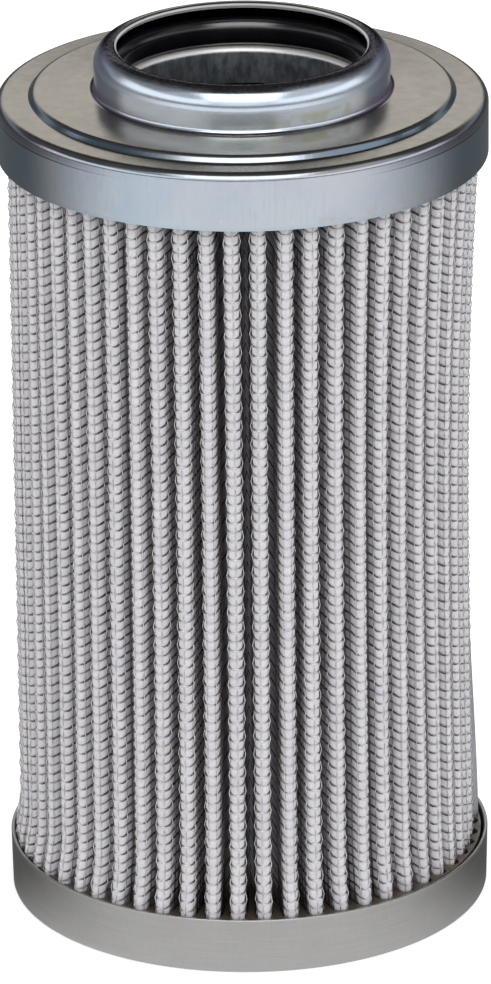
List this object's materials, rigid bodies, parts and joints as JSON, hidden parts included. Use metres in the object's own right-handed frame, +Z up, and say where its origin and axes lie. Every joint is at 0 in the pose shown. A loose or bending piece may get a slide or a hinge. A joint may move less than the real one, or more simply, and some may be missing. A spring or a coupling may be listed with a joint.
{
  "type": "hydraulic filter element",
  "caption": "Pleated hydraulic filter element with pressed end caps, wire-cloth cover and a collar with a seal round its bore.",
  "frame": {"origin": "middle of the closed end cap's outer face, on which the element stands", "axes": "+Z up the element's axis, towards the open collar; -Y is the side that the picture shows"},
  "size_m": [0.0684, 0.0684, 0.1262],
  "materials": {
    "zinc_plate": "zinc-plated pressed steel with a warm grey passivated face",
    "bare_steel": "finely brushed pressed steel",
    "seal_rubber": "smooth oiled black rubber",
    "dark_steel": "dark brushed steel",
    "core_steel": "galvanised perforated steel",
    "wire_cloth": "plain-woven stainless wire",
    "fleece": "white spun-bonded fleece",
    "media": "glass-fibre filter medium",
    "support_fleece": "white spun-bonded fleece",
    "inner_cloth": "plain-woven stainless wire",
    "seam_steel": "smooth folded steel strip",
    "resin": "dark cast resin"
  },
  "bodies": {
    "root": {"top_end_cap": "zinc_plate", "bottom_end_cap": "bare_steel", "seal_ring": "seal_rubber", "seal_retainer": "dark_steel", "core_tube": "core_steel", "outer_wire_mesh": "wire_cloth", "outer_fleece": "fleece", "glass_fibre_media": "media", "inner_fleece": "support_fleece", "inner_wire_mesh": "inner_cloth", "side_seam_strip": "seam_steel", "top_potting": "resin", "bottom_potting": "resin"}
  },
  "joints": []
}
